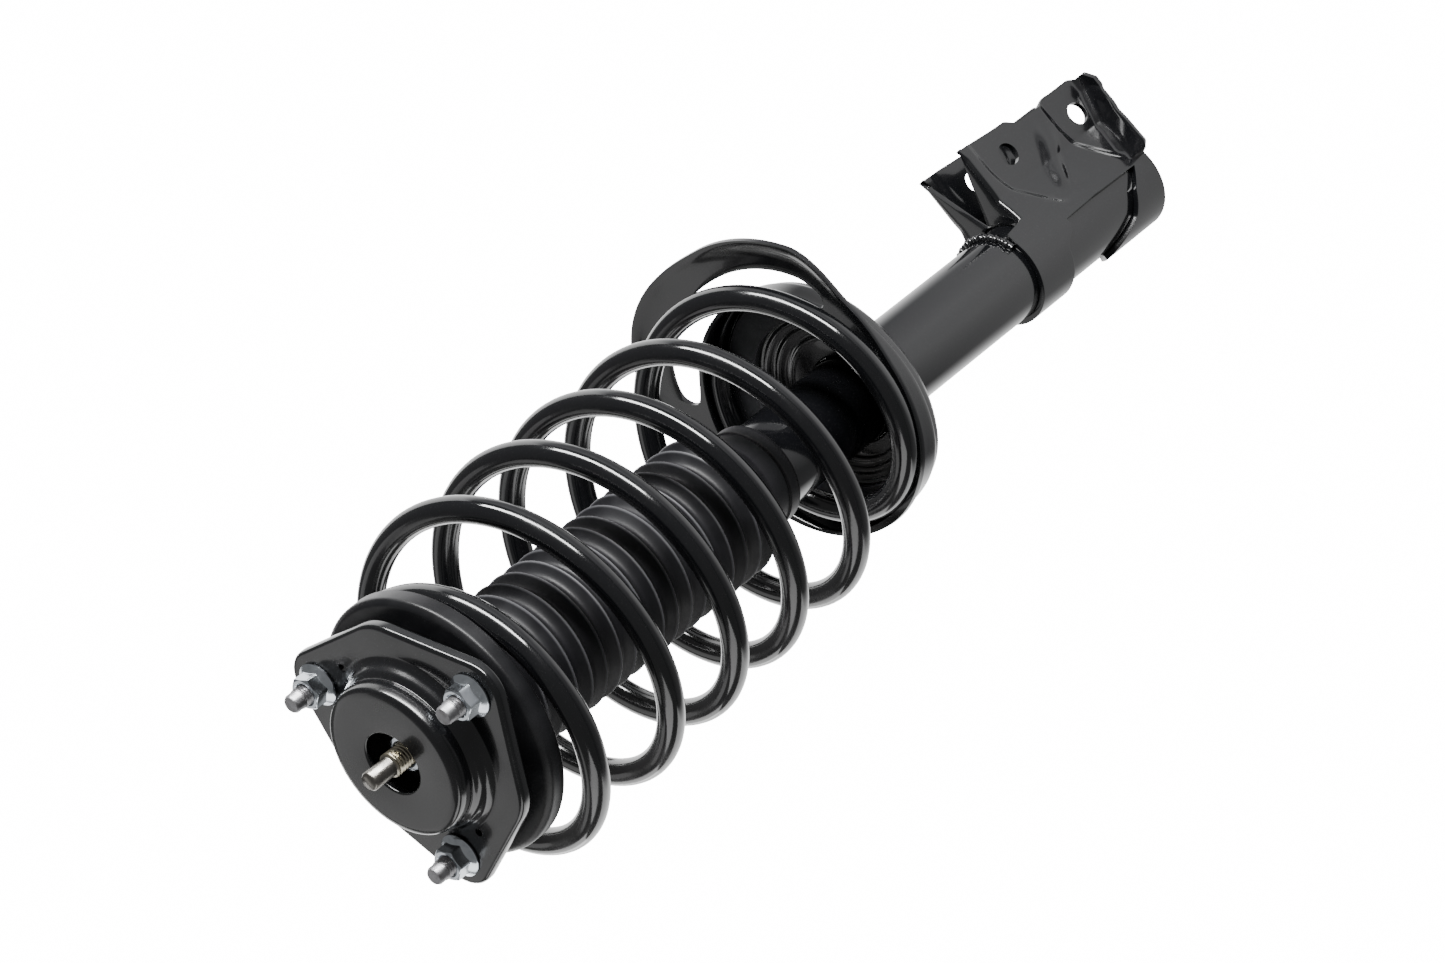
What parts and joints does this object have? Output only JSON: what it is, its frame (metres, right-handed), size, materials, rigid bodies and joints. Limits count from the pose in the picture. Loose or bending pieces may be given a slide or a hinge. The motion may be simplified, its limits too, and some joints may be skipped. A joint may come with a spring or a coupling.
{
  "type": "suspension strut assembly",
  "caption": "Front suspension strut: studded top mount, coil spring, dust boot, damper tube with hooped spring pan, and a clevis bracket for the wheel knuckle.",
  "frame": {"origin": "centre of the top plate's seating face, on the piston rod's axis", "axes": "+Z along the piston rod towards the strut tower, +X towards the open side of the knuckle bracket"},
  "size_m": [0.1883, 0.1678, 0.5982],
  "materials": {
    "black_paint": "gloss",
    "zinc_plate": "satin",
    "plain_steel": "satin",
    "bearing_steel": "polished",
    "chrome": "polished",
    "black_rubber": "matte",
    "grey_rubber": "matte",
    "foam": "matte",
    "nylon": "satin"
  },
  "bodies": {
    "top_mount": {"mount_plate": "black_paint", "mount_rubber": "black_rubber", "mount_retainer": "black_paint", "bearing_outer_race": "bearing_steel", "mount_stud_1": "plain_steel", "mount_stud_2": "plain_steel", "mount_stud_3": "plain_steel", "flange_nut_1": "zinc_plate", "flange_nut_2": "zinc_plate", "flange_nut_3": "zinc_plate"},
    "bearing_set": {"bearing_balls": "bearing_steel"},
    "rod_and_seat": {"bearing_inner_race": "bearing_steel", "rod_washer": "zinc_plate", "rod_nut": "zinc_plate", "piston_rod": "chrome", "upper_spring_seat": "black_paint", "upper_isolator": "black_rubber", "bump_stop": "foam", "dust_boot": "black_rubber", "coil_spring": "black_paint", "rebound_stop": "nylon", "piston": "plain_steel", "piston_band": "nylon", "rebound_valve": "bearing_steel", "piston_nut": "zinc_plate"},
    "strut_body": {"outer_tube": "black_paint", "tube_cap": "black_paint", "rod_guide": "plain_steel", "rod_seal": "black_rubber", "inner_cylinder": "plain_steel", "base_valve": "plain_steel", "tube_end_cap": "black_paint", "lower_spring_seat": "black_paint", "lower_isolator": "grey_rubber", "seat_weld": "black_paint", "bracket_weld": "black_paint", "knuckle_bracket": "black_paint"}
  },
  "joints": [
    {"name": "steering_swivel", "type": "hinge", "parent": "top_mount", "child": "rod_and_seat", "pos_m": [0, 0, 0], "axis": [0, 0, 1], "range_deg": [-40, 40]},
    {"name": "bearing_roll", "type": "hinge", "parent": "top_mount", "child": "bearing_set", "pos_m": [0, 0, 0], "axis": [0, 0, 1], "range_deg": [-20, 20]},
    {"name": "strut_travel", "type": "slide", "parent": "rod_and_seat", "child": "strut_body", "axis": [0, 0, 1], "range_m": [0, 0.16], "stiffness_N_per_m": 25000, "springref_m": -0.03, "deforming": ["coil_spring", "dust_boot", "bump_stop"]}
  ],
  "couplings": [
    {"joint": "bearing_roll", "follows": "steering_swivel", "ratio": 0.5}
  ]
}
